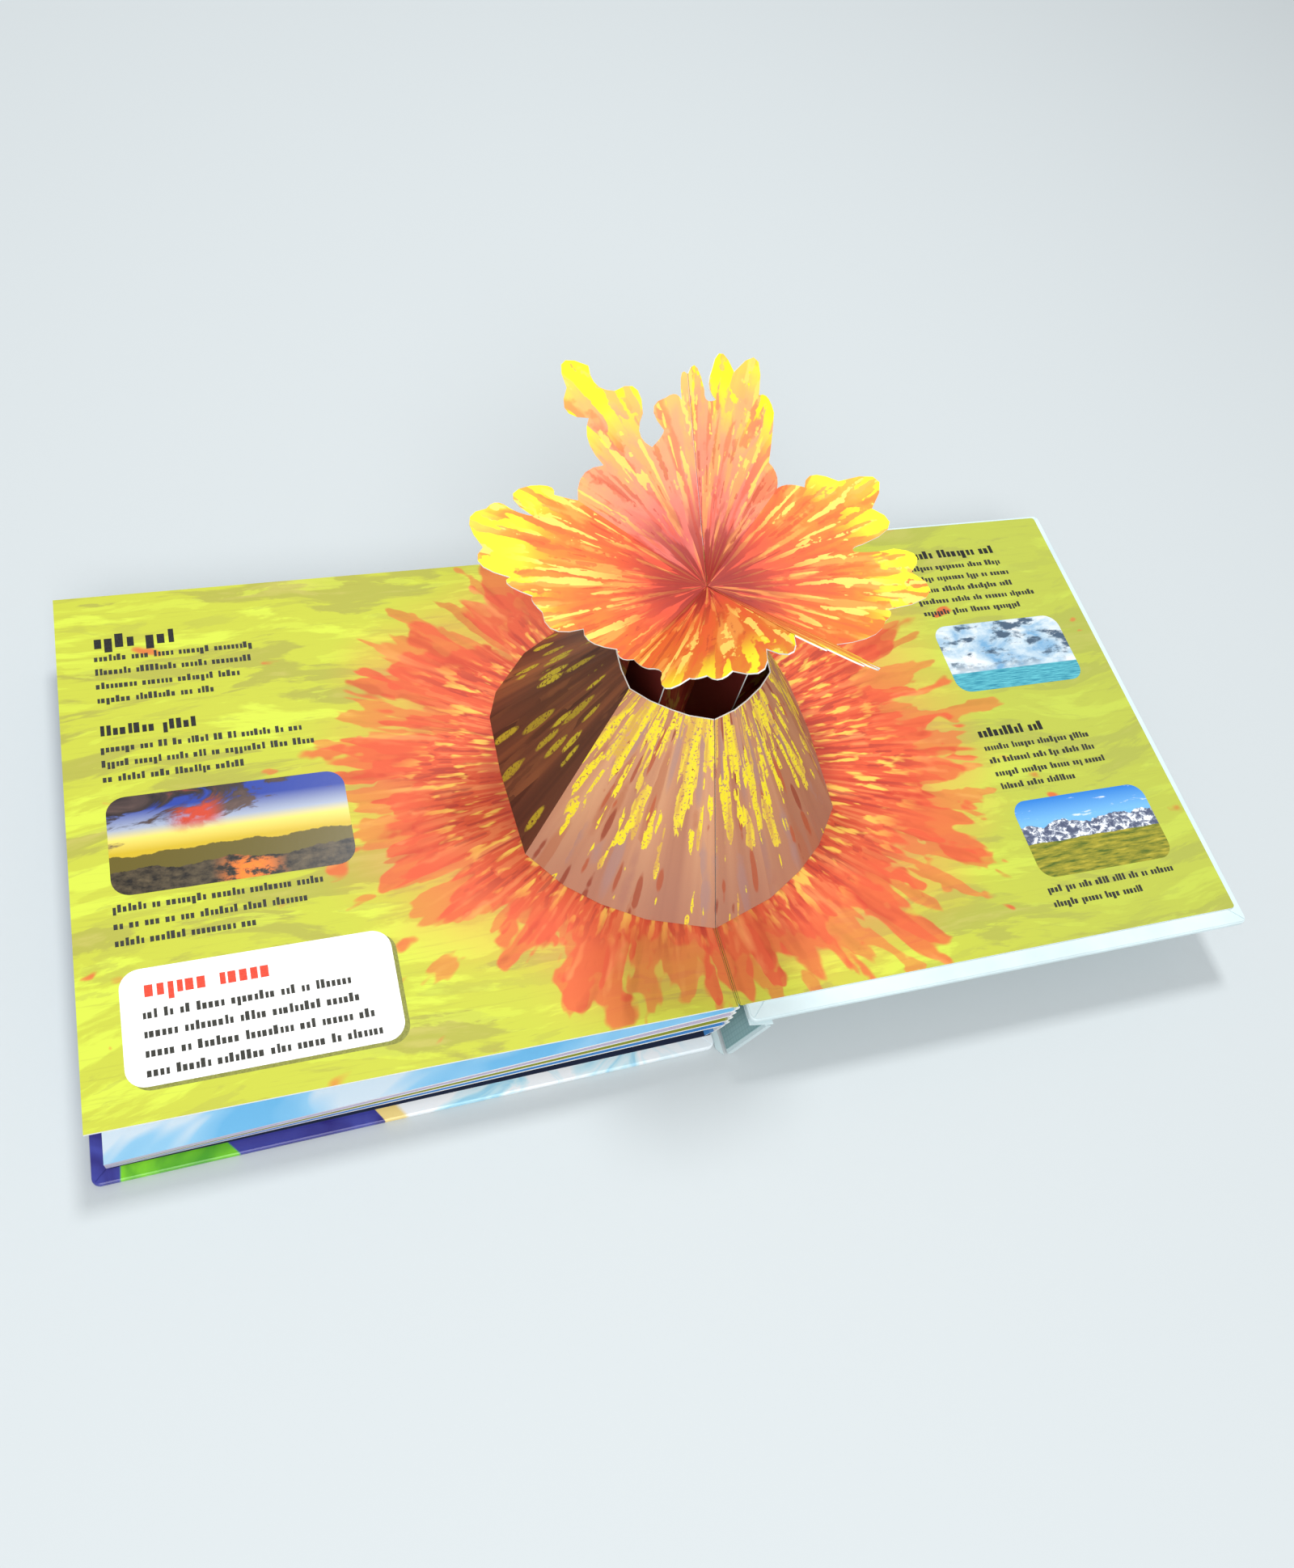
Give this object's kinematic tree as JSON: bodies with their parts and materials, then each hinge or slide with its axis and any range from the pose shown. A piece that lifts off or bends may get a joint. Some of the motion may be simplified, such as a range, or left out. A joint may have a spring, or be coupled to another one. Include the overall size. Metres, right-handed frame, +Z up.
{
  "type": "pop-up picture book",
  "caption": "Open hardback picture book with thick leaves and a folded card volcano and lava burst standing over the gutter.",
  "frame": {"origin": "centre of the open book's outline, on the surface that it lies on", "axes": "+X from the front cover to the back cover across the open spread, +Y from the foot of the pages to the head, +Z up"},
  "size_m": [0.466, 0.2328, 0.1828],
  "materials": {
    "front_wrap": "satin laminated paper over board",
    "back_wrap": "satin laminated paper over board",
    "page_card": "white card leaves",
    "spread_print": "satin printed card",
    "lining": "matt lining paper",
    "rock_print": "satin printed card",
    "lava_print": "satin printed card",
    "strut_print": "satin printed card"
  },
  "bodies": {
    "pages": {"page_block": "page_card", "volcano_left": "rock_print", "burst_left": "lava_print", "strut_left": "strut_print"},
    "front_board": {"front_cover": "front_wrap", "front_pastedown": "page_card", "front_joint": "back_wrap"},
    "back_board": {"back_cover": "back_wrap", "right_page": "spread_print", "volcano_right": "rock_print", "burst_right": "lava_print", "strut_right": "strut_print"},
    "spine": {"spine_board": "back_wrap", "spine_lining": "lining", "back_joint": "back_wrap"}
  },
  "joints": [
    {"name": "back_cover_hinge", "type": "hinge", "parent": "pages", "child": "back_board", "pos_m": [0, 0, 0.034], "axis": [0, -1, 0], "range_deg": [0, 176], "deforming": ["volcano_left", "volcano_right", "burst_left", "burst_right", "strut_left", "strut_right"]},
    {"name": "front_cover_hinge", "type": "hinge", "parent": "pages", "child": "front_board", "pos_m": [0, 0, 0.0031], "axis": [0, -1, 0], "range_deg": [0, 90], "deforming": ["front_joint"]},
    {"name": "spine_hinge", "type": "hinge", "parent": "back_board", "child": "spine", "pos_m": [0.00372, 0, 0.03339], "axis": [0, -1, 0], "range_deg": [-157.5, 0], "deforming": ["back_joint"]}
  ],
  "couplings": [
    {"joint": "spine_hinge", "follows": "back_cover_hinge", "ratio": -0.8944}
  ]
}
